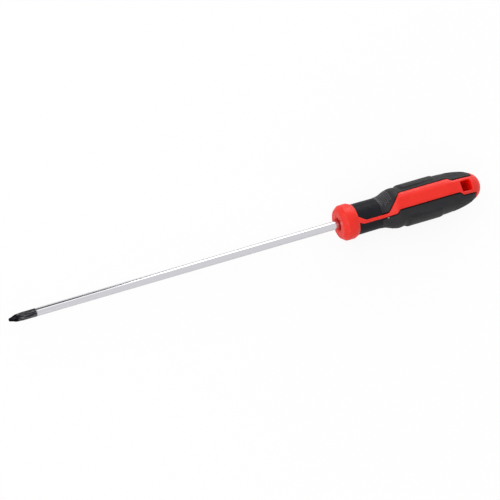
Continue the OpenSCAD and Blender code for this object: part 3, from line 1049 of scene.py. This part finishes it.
def sight_mask(wiring, seen, mirrored):
    """One value for camera rays, another for mirrored and transmitted ones, none for the rest."""
    path = wiring.node("ShaderNodeLightPath").outputs
    others = wiring.math("MAXIMUM", path["Is Glossy Ray"], path["Is Transmission Ray"])
    return wiring.math(
        "MAXIMUM", wiring.math("MULTIPLY", path["Is Camera Ray"], seen),
        wiring.math("MULTIPLY", others, mirrored),
    )


def flat(name, corners, material):
    """One flat face of the stage."""
    mesh = bpy.data.meshes.new(name)
    mesh.from_pydata(corners, [], [tuple(range(len(corners)))])
    mesh.materials.append(material)
    return linked(name, mesh)


sheet, w, shader = new_material("white_sheet")
shader.inputs["Base Color"].default_value = (floor_white, floor_white, floor_white, 1)
shader.inputs["Roughness"].default_value = 0.9
shader.inputs["Specular IOR Level"].default_value = 0.1
glow = w.node("ShaderNodeEmission", Color=(1, 1, 1, 1), Strength=1.0)
both = w.node(
    "ShaderNodeMixShader", Fac=sight_mask(w, seen_glow, mirrored_glow),
    input1=shader.outputs[0], input2=glow.outputs[0],
)
output = next(n for n in w.tree.nodes if n.bl_idname == "ShaderNodeOutputMaterial")
w.feed(output, "Surface", both.outputs[0])
floor = flat("floor", [
    (-floor_half, -floor_half, lowest), (floor_half, -floor_half, lowest),
    (floor_half, floor_half, lowest), (-floor_half, floor_half, lowest),
], sheet)

world = bpy.data.worlds.new("surround")
bpy.context.scene.world = world
world.use_nodes = True
world.node_tree.nodes.clear()
w = Wiring(world.node_tree)
strength = w.between(sight_mask(w, 1.0, 1.0), 0.0, 1.0, surround_light, 1.0)
sky = w.node("ShaderNodeBackground", Color=(1, 1, 1, 1), Strength=strength)
w.node("ShaderNodeOutputWorld", Surface=sky.outputs[0])

# painted reflection: a grey sheet behind the tool, seen only by mirrored rays, draws the thin
# dark line along the bar
flag_y, flag_grey = 0.6, 0.06
cloth, w, shader = new_material("grey_flag")
shader.inputs["Base Color"].default_value = (flag_grey, flag_grey, flag_grey, 1)
shader.inputs["Roughness"].default_value = 1.0
flag = flat("flag", [
    (-0.35, flag_y, lowest), (0.105, flag_y, lowest), (0.08, flag_y, 0.114),
    (0.048, flag_y, 0.375), (-0.02, flag_y, 0.6), (-0.35, flag_y, 1.2),
], cloth)
flag.visible_camera = False
flag.visible_diffuse = False
flag.visible_shadow = False

yaw, roll, distance = radians(20), radians(6), 8.0
image_turn, focal_pixels = radians(16.218), 11443.0
image_pixels, sensor = 500, 36.0
target = Vector((-0.068462, 0.0, 0.0))
back = Vector((-sin(yaw), -cos(yaw) * sin(roll), cos(yaw) * cos(roll)))
level = (Vector((1, 0, 0)) - back * back.x).normalized()
upright = back.cross(level)
right = cos(image_turn) * level - sin(image_turn) * upright
above = sin(image_turn) * level + cos(image_turn) * upright


def area_lamp(name, place, toward, sizes, power, roll_up=Vector((0, 1, 0))):
    """An area lamp, square or oblong, at a place and looking at a point."""
    data = bpy.data.lights.new(name, "AREA")
    data.shape = "SQUARE" if sizes[0] == sizes[1] else "RECTANGLE"
    data.size, data.size_y = sizes
    data.energy = power
    away = (Vector(place) - Vector(toward)).normalized()
    side = roll_up.cross(away).normalized()
    turn = Matrix((side, away.cross(side), away)).transposed().to_4x4()
    lamp = linked(name, data)
    lamp.matrix_world = Matrix.Translation(place) @ turn
    return lamp


camera_data = bpy.data.cameras.new("camera")
camera_data.sensor_width = sensor
camera_data.lens = focal_pixels * sensor / image_pixels
camera_data.clip_end = 50
camera = linked("camera", camera_data)
facing = Matrix((right, above, back)).transposed().to_4x4()
camera.matrix_world = Matrix.Translation(target + back * distance) @ facing
bpy.context.scene.camera = camera

for name, place, power in (
    ("key", (-0.9, 1.2, 1.3), 12), ("top", (-1.0, -0.2, 1.8), 14), ("fill", (-0.5, -1.6, 0.9), 8),
):
    area_lamp(name, place, (0, 0, 0), (1.6, 1.6), power)

# a low lamp behind the handle, which draws the soft bright edges along its upper side
area_lamp("back", (1.05, 1.5, 0.47), (0.05, 0, 0), (1.3, 0.8), 15, Vector((0, 0, 1)))

# a thin strip lamp that only draws the bright line along the bar
along_strip = Vector((0.142, 0.242, -0.234))
strip = area_lamp("strip", (-0.02, 0.31, 0.32), (-0.12, 0, 0), (0.052, 0.7), 0.085, along_strip)
strip.visible_camera = False
strip.visible_diffuse = False

bpy.context.scene.view_settings.view_transform = "Standard"
